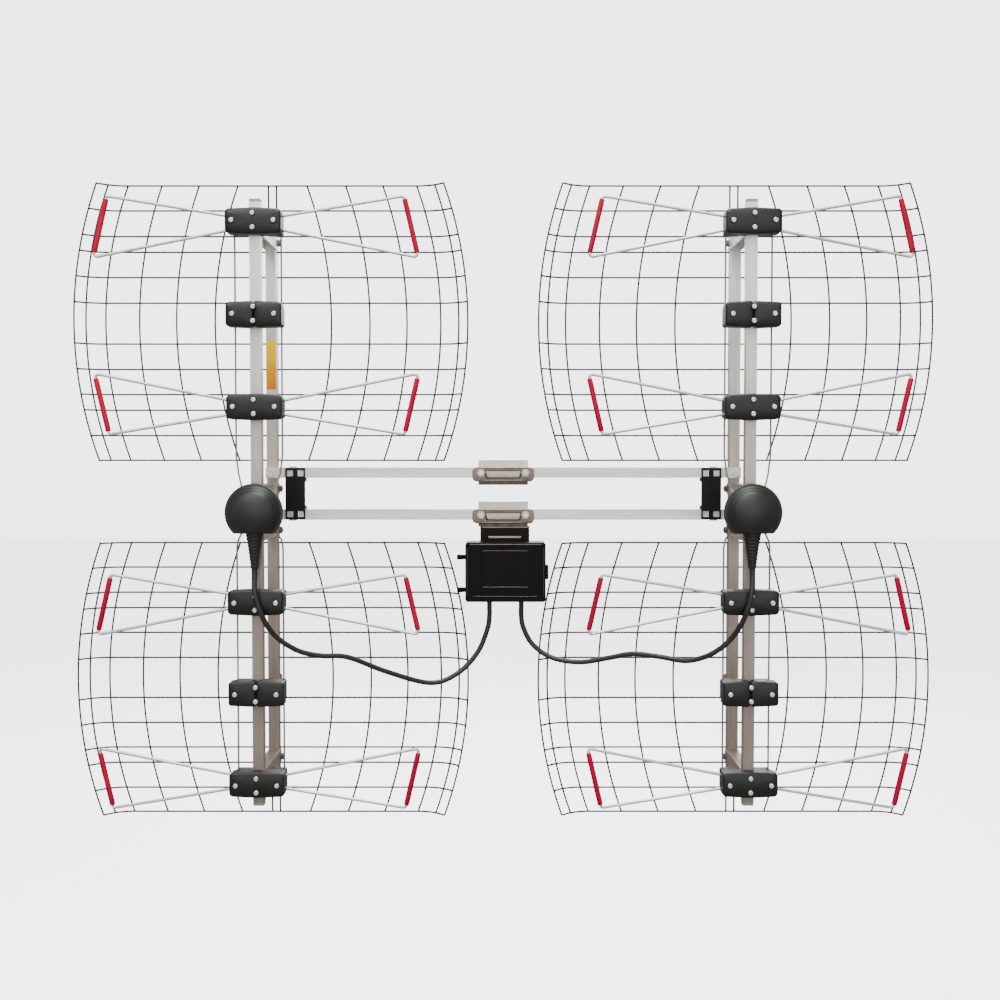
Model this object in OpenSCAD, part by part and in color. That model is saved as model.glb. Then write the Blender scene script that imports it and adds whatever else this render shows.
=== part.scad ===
// Eight-bay bowtie antenna: two swivelling panels on a pair of crossbars that clamp to a mast.
// The origin is on the mast's axis, midway between the two clamps. +Z is up, +X is to the right
// seen from the front, and the front faces -Y.

/* [Tubes] */
// Side of every square tube
tube = 14; // [13:0.5:15]
// Wall of every square tube
tube_wall = 1.2; // [1:0.1:1.6]

/* [Panels] */
// Distance of each panel's axis from the mast's axis
panel_x = 317; // [312:1:330]
// Height of the panels' centre against the middle of the crossbars
panel_z = -11.7; // [-13:0.1:-8]
// Distance of the front boom's face before the rear boom's face
spacing = 105; // [100:1:115]
// Length of each front boom with its plugs
front_length = 780; // [770:2:800]
// Length of each rear boom with its plugs
rear_length = 770; // [760:2:790]

/* [Reflectors] */
// Diameter of the grid wires
wire_d = 2.5; // [2:0.1:3]
// Height of each reflector's middle from the panel's centre
reflector_z = 245; // [243:0.5:246]
// Radius of the side wires' arcs, which make the barrel shape
side_radius = 560; // [550:5:600]
// Radius of the forward bend at both ends of a row
lip_radius = 46; // [43:1:50]
// Half width of a reflector's flat part at its middle
flat_half = 231; // [228:1:232]

/* [Bays] */
// Height of the end bays from the panel's centre
end_bay_z = 360; // [358:1:362]
// Height of the crossover blocks from the panel's centre
middle_block_z = 242.5; // [241:0.5:244]
// Height of the inner bays from the panel's centre
inner_bay_z = 125; // [120:1:130]
// Diameter of the bowtie rods
rod_d = 4; // [3.5:0.1:4]
// Length of the sleeve on each bowtie tip
sleeve_length = 69.5; // [62:0.5:70]

/* [Mast clamp] */
// Radius of the mast that the jaws hold
mast_r = 25.4; // [25:0.1:25.4]
// Distance between the two crossbars' axes
bar_spacing = 57; // [56:0.5:58]
// Distance of each swivel pin from the mast's axis
pivot_x = 287; // [286:0.5:288]

/* [Combiner box] */
// Width of the box
box_w = 108; // [100:1:110]
// Height of the box
box_h = 80; // [78:1:84]
// Sideways offset of the box from the mast's axis
box_x = 2.9; // [0:0.1:3]

/* [Cables] */
// Diameter of the jumper cables
cable_d = 6.9; // [6:0.1:7]

/* [Hidden] */
$fn = 48;
eps = 0.05;

bar_back = -28.5;
bar_y = bar_back - tube / 2;
bar_front = bar_back - tube;
bar_z = bar_spacing / 2;
rear_y = bar_back + tube / 2;
front_face = bar_back - spacing;
front_y = front_face + tube / 2;

wire_r = wire_d / 2;
boom_back = bar_back + tube;
row_y = boom_back + wire_r + 0.1;
column_y = row_y + wire_d + 0.15;
row_steps = [28, 63, 97.5, 119, 154, 188];
rows = concat([for (z = row_steps) -z], row_steps);
column_steps = [80.2, 133.3, 184.4, flat_half];
pair_x = 5.5;
lip_angles = [31, 50.8];
lip_end_angle = 52;
column_half = max(row_steps) + wire_r;
clip_back = column_y + wire_r + 0.1;
clips_at = [reflector_z - 108, reflector_z, -reflector_z + 108, -reflector_z];

block_half = 35.5;
base_half = 32.8;
cover_front = -148;
base_back = -106;
side_screw_x = 26.5;
centre_screw_z = 9;
rod_r = rod_d / 2;
rod_entry = [38, 9.6];
rod_inner_x = 22;
short_tip = [190, 34.5];
long_tip = [208, 43.5];
sleeve_start = 4;
rod_bend = 4;
line_x = 30;
line_y = -112;
line_r = 1.25;
bays = [[end_bay_z, -1], [inner_bay_z, 1], [-inner_bay_z, -1], [-end_bay_z, 1]];

balun_z = -9.5;
balun_screws = [10, -14];
balun_split = -147;
balun_flat = -26.5;
cover_r = 37;
dome_r = 34;
dome_sphere = 48.3;
dome_height = 19;
flange_height = 5;
boot_length = 45.5;

standoffs_at = [[353.5, 19], [18, 15], [-39, 15], [-353.5, 19]];
standoff_front = front_y - 4.5;
plate = 1.5;
swivel_r = 3;
running = 0.05;
leg_x = 30;
leg_r = 3;
ubolt_y = -1.4;
leg_front = -64;
nut_r = 5.77;
jaw_back = -10.7;
jaw_half = 17;
jaw_plate = 2.5;
saddle_drop = 2.3;
bracket_in = 269;
bracket_out = 295.7;
bracket_half = 35;
bracket_back_from = 273.5;
bracket_back_to = 277;
stay_x = 272.5;
stay_r = 2.1;
strap_x = 26;
strap_y = -19;

box_top = -65;
box_bottom = box_top - box_h;
box_back = -30.5;
box_split = -52;
box_front = -70;
box_wall = 2;
port_x = 21.7;
port_y = -41;
hinge_x = box_x - box_w / 2 - 7.5;
hinges_at = [-85.5, -130];
hanger_left = -31.5;
hanger_right = 35.8;
hanger_top = -bar_z - jaw_half;
bead_z = -60;
mounts_x = [box_x - 24, box_x + 24];
mounts_z = [-76, -132];
grommet_bottom = box_bottom - 2.5;

left_route = [
    [-317, -147, -93.4], [-317, -147.25, -99.5], [-317, -148.3, -105.5], [-316.9, -150.1, -111.5],
    [-316.3, -152, -118], [-315.3, -153.2, -124], [-313.8, -153.7, -131],
    [-311.4, -153.5, -139.5], [-308, -152.5, -149], [-304, -150, -160], [-298, -145.8, -171],
    [-290, -141, -181.5], [-279, -135.5, -191.5], [-261, -127, -202.5], [-237, -117.5, -209],
    [-204, -105, -213], [-154, -85, -236], [-98, -67, -254], [-62, -57, -243],
    [-35, -48.5, -216], [-21.4, -43, -184], [-18.8, -41.2, -166], [-18.8, -41, -156],
    [-18.8, -41, -147.6]
];
right_route = [
    [317, -147, -93.4], [317, -147.25, -99.5], [316.9, -148.3, -105.5], [316.6, -150.1, -111.5],
    [316, -152, -118], [315, -153.2, -124], [313.6, -153.7, -131],
    [311.5, -153.5, -139.5], [308.5, -152.5, -149], [304.5, -150, -160], [298.8, -145.8, -172],
    [291, -141, -184], [279.5, -135, -196.5], [261, -126, -209], [237, -115, -216],
    [205, -100.5, -213], [172, -87, -211.5], [140, -75.5, -219], [103, -64, -226.5],
    [66, -54.5, -222], [40, -47.5, -205], [27.2, -43, -182], [24.6, -41.2, -166],
    [24.6, -41, -156], [24.6, -41, -147.6]
];

function unit(v) = v / norm(v);
function blend(a, b, c, d, t) =
    0.5 * (2 * b + (c - a) * t + (2 * a - 5 * b + 4 * c - d) * t * t
    + (3 * b - a - 3 * c + d) * t * t * t);
function smooth(p, steps) =
    let (last = len(p) - 1)
    concat(
        [for (i = [0:last - 1], k = [0:steps - 1])
            blend(p[max(i - 1, 0)], p[i], p[i + 1], p[min(i + 2, last)], k / steps)],
        [p[last]]
    );
function heading(p, i) = unit(p[min(i + 1, len(p) - 1)] - p[max(i - 1, 0)]);
function ring(centre, along, side, r, sides) =
    let (u = unit(cross(along, side)), v = cross(u, along))
    [for (k = [0:sides - 1]) centre + r * (cos(360 * k / sides) * u + sin(360 * k / sides) * v)];

// A round cord through points p, whose cross-section is turned by a fixed side direction.
module cord(p, r, side, sides) {
    n = len(p);
    points = [for (i = [0:n - 1]) each ring(p[i], heading(p, i), side, r, sides)];
    walls = [for (i = [0:n - 2], k = [0:sides - 1])
        [i * sides + k, i * sides + (k + 1) % sides, (i + 1) * sides + (k + 1) % sides, (i + 1) * sides + k]];
    first = [for (k = [sides - 1:-1:0]) k];
    last = [for (k = [sides - 1:-1:0]) n * sides - 1 - k];
    polyhedron(points, concat(walls, [first, last]), convexity = 8);
}

// The corner points of an outline, each turned into an arc of radius r.
function rounded(p, r, n = 6) = [
    for (i = [0:len(p) - 1])
        let (
            q = p[i],
            u = unit(p[(i + len(p) - 1) % len(p)] - q),
            v = unit(p[(i + 1) % len(p)] - q),
            half = acos(u * v) / 2,
            centre = q + unit(u + v) * r / sin(half),
            a = q + u * r / tan(half) - centre,
            b = q + v * r / tan(half) - centre
        )
        for (k = [0:n]) centre + r * unit(a * (1 - k / n) + b * k / n)
];

module right_side() {
    translate([panel_x, 0, panel_z]) children();
}

module left_side() {
    mirror([1, 0, 0]) right_side() children();
}

module both_ways() {
    children();
    mirror([1, 0, 0]) children();
}

module along_y(x, y_from, y_to, z, r) {
    translate([x, y_to, z]) rotate([90, 0, 0]) cylinder(r = r, h = y_to - y_from);
}

module along_x(x_from, x_to, y, z, r) {
    translate([x_from, y, z]) rotate([0, 90, 0]) cylinder(r = r, h = x_to - x_from);
}

module block(low, high) {
    translate(low) cube(high - low);
}

// A plate in the X-Z plane between two depths.
module front_plate(y_from, y_to) {
    translate([0, y_to, 0]) rotate([90, 0, 0]) linear_extrude(y_to - y_from) children();
}

module square_tube(length) {
    inner = tube - 2 * tube_wall;
    difference() {
        translate([-tube / 2, -tube / 2, -length / 2]) cube([tube, tube, length]);
        translate([-inner / 2, -inner / 2, -length / 2 - 1]) cube([inner, inner, length + 2]);
    }
}

// Pan head with a cross recess, facing -Y, with its shank behind it.
module cross_screw(x, z, y_head, shank_r, shank_end) {
    translate([x, y_head, z]) rotate([90, 0, 0]) difference() {
        union() {
            cylinder(r = 3, h = 1);
            translate([0, 0, 1]) cylinder(r1 = 3, r2 = 2.2, h = 0.8);
        }
        translate([-1.8, -0.4, 0.8]) cube([3.6, 0.8, 2]);
        translate([-0.4, -1.8, 0.8]) cube([0.8, 3.6, 2]);
    }
    along_y(x, y_head, shank_end, z, shank_r);
}

module hex_nut(r, h, bore) {
    difference() {
        cylinder(r = r, h = h, $fn = 6);
        translate([0, 0, -1]) cylinder(r = bore, h = h + 2);
    }
}

// ---- Booms, standoffs and swivel arms ----

module front_boom() {
    color("lightgray") difference() {
        translate([0, front_y, 0]) square_tube(front_length - 8);
        for (b = [for (v = bays) v[0], middle_block_z, -middle_block_z], s = [-1, 1])
            along_y(0, front_face - 1, front_y, b + s * centre_screw_z, 1.7);
        for (s = standoffs_at) along_x(-tube, tube, front_y, s[0], 2.1);
        for (z = balun_screws) along_y(0, front_face - 1, front_y, balun_z + z, 1.7);
    }
}

module rear_boom() {
    color("lightgray") difference() {
        translate([0, rear_y, 0]) square_tube(rear_length - 8);
        for (s = standoffs_at) along_x(-tube, tube, rear_y, s[0], 2.6);
        for (s = [-1, 1]) along_y(0, bar_back - 1, boom_back + 1, s * bar_z - panel_z, 3.1);
        for (z = clips_at) along_y(0, rear_y, boom_back + 1, z, 1.7);
    }
}

module plug() {
    inner = tube - 2 * tube_wall - 0.1;
    translate([0, 0, -2]) linear_extrude(4)
        polygon(rounded([[-tube / 2, -tube / 2], [tube / 2, -tube / 2], [tube / 2, tube / 2], [-tube / 2, tube / 2]], 1.5));
    translate([-inner / 2, -inner / 2, -10]) cube([inner, inner, 8]);
}

module boom_plugs() {
    color("dimgray") for (s = [[front_y, front_length], [rear_y, rear_length]], flip = [0, 1])
        translate([0, s[0], 0]) mirror([0, 0, flip]) translate([0, 0, s[1] / 2 - 2]) plug();
}

module standoff(z, height) {
    inner_half = tube / 2 + eps;
    y_back = rear_y + 5.5;
    difference() {
        union() {
            for (s = [-1, 1])
                block([s > 0 ? inner_half : -inner_half - plate, standoff_front, z - height / 2],
                      [s > 0 ? inner_half + plate : -inner_half, y_back, z + height / 2]);
            block([-inner_half, front_y + tube / 2 + 1, z + height / 2 - plate],
                  [inner_half, bar_back - 1, z + height / 2]);
        }
        along_x(-tube, tube, front_y, z, 2.1);
        along_x(-tube, tube, rear_y, z, 2.6);
    }
}

module standoffs() {
    color("silver") for (s = standoffs_at) standoff(s[0], s[1]);
}

module swivel_arms() {
    reach = panel_x - pivot_x;
    inner = tube / 2 - tube_wall;
    color("lightgray") for (s = [-1, 1]) {
        z = s * bar_z - panel_z;
        difference() {
            union() {
                translate([-reach, bar_y, z - tube / 2]) cylinder(r = tube / 2, h = tube);
                translate([0, bar_y, z - tube / 2]) cylinder(r = tube / 2, h = tube);
                block([-reach, bar_front, z - tube / 2], [0, bar_back, z + tube / 2]);
            }
            block([-reach, bar_y - inner, z - inner], [0, bar_y + inner, z + inner]);
            translate([-reach, bar_y, z - tube]) cylinder(r = swivel_r + running, h = 2 * tube);
            along_y(0, bar_front - 1, bar_back + 1, z, 3.1);
        }
    }
}

// ---- Reflectors ----

function inset(z) = side_radius - sqrt(side_radius * side_radius - z * z);

module row_wire(z) {
    half = flat_half - inset(z);
    right = [for (a = [0, 15, lip_angles[0], 41, lip_angles[1], lip_end_angle])
        [half + lip_radius * sin(a), row_y - lip_radius + lip_radius * cos(a), z]];
    left = [for (i = [len(right) - 1:-1:0]) [-right[i][0], right[i][1], z]];
    cord(concat(left, right), wire_r, [0, 0, 1], 8);
}

module column_wire(x, y) {
    a = asin(column_half / side_radius);
    both_ways() translate([x - side_radius, y, 0]) rotate([90, 0, 0]) rotate([0, 0, -a])
        rotate_extrude(angle = 2 * a) translate([side_radius, 0]) circle(r = wire_r);
}

module reflector(z) {
    outer_lip = lip_radius + column_y - row_y;
    color("dimgray") translate([0, 0, z]) {
        for (r = rows) row_wire(r);
        for (x = column_steps) column_wire(x, column_y);
        for (a = lip_angles)
            column_wire(flat_half + outer_lip * sin(a), row_y - lip_radius + outer_lip * cos(a));
        for (x = [-pair_x, pair_x]) translate([x, column_y, -column_half]) cylinder(r = wire_r, h = 2 * column_half);
    }
}

module reflector_clips() {
    color("gainsboro") for (z = clips_at) difference() {
        translate([0, 0, z]) front_plate(clip_back, clip_back + plate)
            polygon(rounded([[-9, -4.5], [9, -4.5], [9, 4.5], [-9, 4.5]], 2));
        along_y(0, clip_back - 1, clip_back + plate + 1, z, 1.8);
    }
}

// ---- Insulator blocks and bowties ----

cover_outline = [[-block_half, -15.25], [0, -17], [block_half, -15.25], [block_half, 15.25], [0, 17], [-block_half, 15.25]];

module rod_grooves(z, long) {
    both_ways() for (leg = [[short_tip, -long], [long_tip, long]]) {
        slope = (leg[0][1] - rod_entry[1]) / (leg[0][0] - rod_entry[0]);
        translate([rod_inner_x - 1, front_y, z + leg[1] * (rod_entry[1] - slope * (rod_entry[0] - rod_inner_x + 1))])
            rotate([0, 90 - leg[1] * atan(slope), 0]) cylinder(r = rod_r + running, h = 30);
    }
}

module block_cover(z) {
    difference() {
        translate([0, 0, z]) front_plate(cover_front, front_y) polygon(rounded(cover_outline, 5));
        block([-tube / 2 - 0.1, front_face - 0.05, z - 30], [tube / 2 + 0.1, front_y + 1, z + 30]);
        both_ways() along_y(side_screw_x, cover_front - 1, front_y + 1, z, 1.9);
        for (s = [-1, 1]) along_y(0, cover_front - 1, front_y, z + s * centre_screw_z, 1.9);
    }
}

module block_covers() {
    color("darkslategray") {
        for (b = bays) difference() {
            block_cover(b[0]);
            rod_grooves(b[0], b[1]);
            for (s = standoffs_at) block([-11.2, standoff_front - 0.6, s[0] - s[1] / 2 - 0.6],
                                         [11.2, front_y + 1, s[0] + s[1] / 2 + 0.6]);
        }
        for (s = [-1, 1]) block_cover(s * middle_block_z);
    }
}

module bay_base(z, long) {
    difference() {
        both_ways() translate([0, 0, z]) front_plate(front_y, base_back)
            polygon(rounded([[11, -13.5], [base_half, -13.5], [base_half, 13.5], [11, 13.5]], 3));
        both_ways() {
            along_y(side_screw_x, front_y - 1, base_back + 1, z, 1.9);
            translate([line_x, line_y, z - 20]) cylinder(r = line_r + 0.2, h = 40);
            block([20, front_y - 1, z - 10.5], [32, front_y + 3.4, z + 10.5]);
            along_y(line_x, front_y, line_y, z, 1.3);
        }
        rod_grooves(z, long);
    }
}

module middle_base(z) {
    difference() {
        translate([0, 0, z]) front_plate(front_y, base_back)
            polygon(rounded([[-base_half, -13.5], [base_half, -13.5], [base_half, 13.5], [-base_half, 13.5]], 3));
        block([-tube / 2 - 0.1, front_y - 1, z - 20], [tube / 2 + 0.1, front_y + tube / 2 + 0.1, z + 20]);
        block([-31.8, -117.5, z - 11], [31.8, base_back - 1.5, z + 11]);
        both_ways() {
            along_y(side_screw_x, front_y - 1, base_back + 1, z, 1.9);
            translate([line_x, line_y, z - 20]) cylinder(r = line_r + 0.2, h = 40);
        }
    }
}

module block_bases() {
    color("darkslategray") {
        for (b = bays) bay_base(b[0], b[1]);
        for (s = [-1, 1]) middle_base(s * middle_block_z);
    }
}

// Height at which a leg towards a tip ends inside the block.
function leg_end(tip) =
    rod_entry[1] - (tip[1] - rod_entry[1]) / (tip[0] - rod_entry[0]) * (rod_entry[0] - rod_inner_x);

// One rod: its two ends run into the block, and it is bent at the two tips.
module bowtie_loop(long) {
    p = [
        [rod_inner_x, -long * leg_end(short_tip)],
        [short_tip[0], -long * short_tip[1]],
        [long_tip[0], long * long_tip[1]],
        [rod_inner_x, long * leg_end(long_tip)]
    ];
    bends = [for (i = [1, 2])
        let (
            u = unit(p[i - 1] - p[i]),
            v = unit(p[i + 1] - p[i]),
            half = acos(u * v) / 2,
            centre = p[i] + unit(u + v) * rod_bend / sin(half),
            a = p[i] + u * rod_bend / tan(half) - centre,
            b = p[i] + v * rod_bend / tan(half) - centre
        )
        for (k = [0:4]) centre + rod_bend * unit(a * (1 - k / 4) + b * k / 4)];
    path = concat([p[0]], bends, [p[3]]);
    cord([for (q = path) [q[0], front_y, q[1]]], rod_r, [0, 1, 0], 10);
}

module bowtie(number) {
    color("whitesmoke") translate([0, 0, bays[number - 1][0]]) both_ways() bowtie_loop(bays[number - 1][1]);
}

module tip_sleeves() {
    color("crimson") for (b = bays) translate([0, 0, b[0]]) both_ways() {
        low = [short_tip[0], -b[1] * short_tip[1]];
        high = [long_tip[0], b[1] * long_tip[1]];
        d = high - low;
        from = low + unit(d) * sleeve_start;
        translate([from[0], front_y, from[1]]) rotate([0, 90 - atan2(d[1], d[0]), 0]) difference() {
            cylinder(r = 3.5, h = sleeve_length);
            translate([0, 0, -1]) cylinder(r = rod_r + 0.03, h = sleeve_length + 2);
        }
    }
}

// ---- Phasing lines ----

module phasing_line(s) {
    m = middle_block_z;
    over = line_y + s * 2.6;
    board = -139.4;
    upper = [
        [s * line_x, line_y, end_bay_z + 12], [s * line_x, line_y, m + 12], [s * 27, over, m + 8],
        [-s * 27, over, m - 8], [-s * line_x, line_y, m - 12], [-s * line_x, line_y, balun_z + 73],
        [-s * 27, -113, balun_z + 49], [-s * 22, -117, balun_z + 31], [-s * 20, -123, balun_z + 24],
        [-s * 20, board, balun_z + 19]
    ];
    lower = [
        [s * 20, board, balun_z - 14], [s * 20, -121, balun_z - 19], [s * 23, -115, balun_z - 28],
        [s * 28, line_y, balun_z - 37], [s * line_x, line_y, balun_z - 47],
        [s * line_x, line_y, -m + 12], [s * 27, over, -m + 8],
        [-s * 27, over, -m - 8], [-s * line_x, line_y, -m - 12], [-s * line_x, line_y, -end_bay_z - 12]
    ];
    cord(upper, line_r, [0, 1, 0], 8);
    cord(lower, line_r, [0, 1, 0], 8);
}

module phasing_lines() {
    plate_front = front_y + rod_r + 0.1;
    color("gainsboro") {
        for (s = [-1, 1]) phasing_line(s);
        for (b = bays) both_ways() difference() {
            union() {
                block([20.5, plate_front, b[0] - 10], [31.8, plate_front + 1, b[0] + 10]);
                along_y(line_x, plate_front + 0.5, line_y - line_r - 0.1, b[0], 1);
            }
            along_y(side_screw_x, plate_front - 1, plate_front + 2, b[0], 2.2);
        }
    }
}

// ---- Balun housing ----

// Turns the housing's own axes so that its depth runs forward from the split face.
module housing() {
    translate([0, balun_split, balun_z]) rotate([90, 0, 0]) children();
}

module above_flat(level) {
    intersection() {
        children();
        translate([-60, level, -60]) cube([120, 120, 120]);
    }
}

module balun_cover() {
    color("darkslategray") housing() difference() {
        above_flat(balun_flat) union() {
            cylinder(r = cover_r, h = flange_height);
            intersection() {
                translate([0, 0, dome_height - dome_sphere]) sphere(r = dome_sphere);
                cylinder(r = dome_r, h = 40);
            }
        }
        above_flat(balun_flat + 2) intersection() {
            translate([0, 0, dome_height - dome_sphere]) sphere(r = dome_sphere - 2);
            translate([0, 0, -1]) cylinder(r = dome_r - 2.5, h = 40);
        }
        translate([0, -15, 0]) rotate([90, 0, 0]) cylinder(r = 5.2, h = 20);
    }
}

module balun_base() {
    depth = front_face - balun_split;
    color("darkslategray") housing() difference() {
        union() {
            difference() {
                above_flat(balun_flat) translate([0, 0, -depth]) cylinder(r = 33.5, h = depth);
                above_flat(balun_flat + 2) translate([0, 0, 2.5 - depth]) cylinder(r = 31.5, h = depth);
            }
            for (x = [-13, 13]) translate([x, 8, 1 - depth]) cylinder(r = 3, h = 4.9);
        }
        for (x = [-20, 20], y = [21, -16.5]) translate([x, y, -depth - 1]) cylinder(r = 2.4, h = 5);
        for (y = balun_screws) translate([0, y, -depth - 1]) cylinder(r = 1.9, h = 5);
        translate([0, -15, 0]) rotate([90, 0, 0]) cylinder(r = 5.2, h = 20);
    }
}

module balun_board() {
    color("seagreen") housing() {
        difference() {
            translate([-23, -20, -7.6]) cube([46, 42, 1.6]);
            for (y = balun_screws) translate([0, y, -9]) cylinder(r = 4, h = 4);
        }
        translate([-7, -9, -6]) cube([14, 14, 8]);
        for (x = [-15, 15]) translate([x, 2, -6]) cylinder(r = 2.5, h = 4);
    }
}

// Port in the housing's floor, and the jumper's plug on it.
module cable_plug() {
    color("silver") translate([0, balun_split, balun_z]) {
        translate([0, 0, balun_flat - 0.1]) cylinder(r = 5, h = 14);
        translate([0, 0, balun_flat - 4.1]) cylinder(r = 6.3, h = 4, $fn = 6);
        translate([0, 0, balun_flat - 8]) cylinder(r = 4.7, h = 4.1);
        translate([0, 0, balun_flat - 17]) cylinder(r = 6.3, h = 9, $fn = 6);
        translate([0, 0, balun_flat - 30]) cylinder(r = 4, h = 13);
    }
}

module cable_boot() {
    color("#1c1c1a") translate([0, balun_split, balun_z + balun_flat - 0.05]) rotate([180, 0, 0]) difference() {
        cylinder(r1 = 10.8, r2 = 4.6, h = boot_length - 0.05);
        translate([0, 0, -1]) cylinder(r = 7, h = 20);
        cylinder(r = 4.2, h = 31);
    }
}

module panel_screws() {
    bolt_head = bar_front - 0.05;
    color("white") {
        for (b = bays, s = [-1, 1]) {
            cross_screw(s * side_screw_x, b[0], cover_front, 1.7, base_back + 1);
            cross_screw(0, b[0] + s * centre_screw_z, cover_front, 1.6, front_face + 3);
        }
        for (m = [-1, 1], s = [-1, 1]) {
            cross_screw(s * side_screw_x, m * middle_block_z, cover_front, 1.7, base_back + 1);
            cross_screw(0, m * middle_block_z + s * centre_screw_z, cover_front, 1.6, front_face + 3);
        }
        for (y = balun_screws) cross_screw(0, balun_z + y, front_face - 2.5, 1.6, front_face + 3);
        for (z = clips_at) mirror([0, 1, 0]) cross_screw(0, z, -clip_back - plate, 1.6, 4 - boom_back);
        for (s = [-1, 1]) {
            z = s * bar_z - panel_z;
            translate([0, bolt_head, z]) rotate([90, 0, 0]) cylinder(r = 5.5, h = 3.5, $fn = 6);
            along_y(0, bolt_head, boom_back + 6.5, z, 3);
            translate([0, boom_back + 5.1, z]) rotate([90, 0, 0]) hex_nut(nut_r, 5, 3.02);
        }
        for (p = standoffs_at) {
            side = tube / 2 + eps + plate;
            along_x(-side - 1, side + 1, front_y, p[0], 2);
            for (x = [-side - 1, side]) along_x(x, x + 1, front_y, p[0], 3.4);
            along_x(-side - 5, side + 3, rear_y, p[0], 2.5);
            translate([side, rear_y, p[0]]) rotate([0, 90, 0]) cylinder(r = 4.6, h = 3, $fn = 6);
            translate([-side - 4, rear_y, p[0]]) rotate([0, 90, 0]) cylinder(r = 4.6, h = 4, $fn = 6);
        }
    }
}

// ---- Crossbars, pivots and mast clamp ----

module crossbars() {
    color("gainsboro") for (s = [-1, 1]) translate([0, bar_y, s * bar_z]) difference() {
        rotate([0, 90, 0]) square_tube(2 * (pivot_x - 8.5));
        for (x = [-leg_x, leg_x]) along_y(x, -tube, tube, 0, 3.2);
        for (x = [-stay_x, stay_x]) translate([x, 0, -tube]) cylinder(r = stay_r, h = 2 * tube);
    }
}

module pivot_bracket() {
    web_back = bar_front - 0.3;
    lug_top = bar_z - tube / 2 - 0.2;
    window = [8.6, 8.2];
    difference() {
        union() {
            block([bracket_in, web_back - 2.7, -bracket_half], [bracket_out, web_back, bracket_half]);
            for (s = [-1, 1])
                block([bracket_in, web_back - 1, s > 0 ? lug_top - 4 : -lug_top],
                      [bracket_out, bar_back, s > 0 ? lug_top : 4 - lug_top]);
            block([bracket_back_from, bar_back + 0.1, 1 - bracket_half],
                  [bracket_back_to, bar_back + 2.1, bracket_half - 1]);
            for (s = [-1, 1])
                block([bracket_back_from, bar_back - 1, s > 0 ? lug_top - 4 : -lug_top],
                      [bracket_back_to, bar_back + 1, s > 0 ? lug_top : 4 - lug_top]);
        }
        for (s = [-1, 1], x = [bracket_in + 2, bracket_out - 2 - window[0]])
            block([x, web_back - 4, s * 27.7 - window[1] / 2],
                  [x + window[0], web_back + 1, s * 27.7 + window[1] / 2]);
        translate([pivot_x, bar_y, -30]) cylinder(r = swivel_r + running, h = 60);
        translate([stay_x, bar_y, -30]) cylinder(r = stay_r, h = 60);
    }
}

module pivot_brackets() {
    color("#171717") both_ways() pivot_bracket();
}

module pivot_pins() {
    arm_top = bar_z + tube / 2;
    lug_bottom = bar_z - tube / 2 - 4.2;
    color("darkgray") both_ways() for (flip = [0, 1]) mirror([0, 0, flip]) {
        translate([pivot_x, bar_y, 0]) {
            translate([0, 0, lug_bottom - 5]) cylinder(r = swivel_r, h = arm_top - lug_bottom + 5.5);
            translate([0, 0, arm_top + 0.2]) cylinder(r = 5.5, h = 1.3);
            translate([0, 0, lug_bottom - 4.6]) hex_nut(nut_r, 4.5, 3);
        }
        translate([stay_x, bar_y, lug_bottom - 1.2]) cylinder(r = 2, h = 10);
        translate([stay_x, bar_y, lug_bottom - 1.2]) cylinder(r = 3.6, h = 1.2);
    }
}

module saddle(z) {
    translate([0, 0, z - saddle_drop]) difference() {
        union() {
            front_plate(bar_front - 2.5, bar_front)
                polygon(rounded([[-42, -9.75], [42, -9.75], [42, 9.75], [-42, 9.75]], 6));
            for (s = [-1, 1])
                block([-34, bar_front - 5, s > 0 ? 7.6 : -9.6], [34, bar_front - 1, s > 0 ? 9.6 : -7.6]);
            translate([0, 0, -4.5]) linear_extrude(9)
                polygon([[-24, bar_front - 2], [24, bar_front - 2], [22.5, bar_front - 6], [-22.5, bar_front - 6]]);
        }
        for (x = [-leg_x, leg_x]) along_y(x, bar_front - 10, bar_front + 1, saddle_drop, 3.2);
        for (x = [-leg_x, leg_x])
            translate([x, bar_front - 2.5, saddle_drop]) rotate([90, 0, 0]) cylinder(r = nut_r + 0.5, h = 6);
    }
}

module clamp_saddles() {
    color("tan") for (s = [-1, 1]) saddle(s * bar_z);
}

module jaw(z) {
    difference() {
        translate([0, 0, z]) union() {
            block([-34, bar_back, -jaw_half], [34, bar_back + jaw_plate - 0.1, jaw_half]);
            for (s = [-1, 1])
                block([-34, bar_back, s > 0 ? jaw_half - jaw_plate : -jaw_half],
                      [34, jaw_back, s > 0 ? jaw_half : jaw_plate - jaw_half]);
        }
        translate([0, 0, z - 30]) cylinder(r = mast_r, h = 60);
        for (x = [-leg_x, leg_x]) along_y(x, bar_back - 1, bar_back + 5, z, 3.2);
        if (z < 0) for (x = [-strap_x, strap_x])
            translate([x, strap_y, z - jaw_half - 1]) cylinder(r = 2.1, h = 5);
    }
}

module clamp_jaws() {
    color("silver") for (s = [-1, 1]) jaw(s * bar_z);
}

module ubolt(z) {
    color("gainsboro") translate([0, 0, z]) {
        translate([0, ubolt_y, 0]) rotate_extrude(angle = 180) translate([leg_x, 0]) circle(r = leg_r);
        for (x = [-leg_x, leg_x]) along_y(x, leg_front, ubolt_y, 0, leg_r);
    }
}

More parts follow.
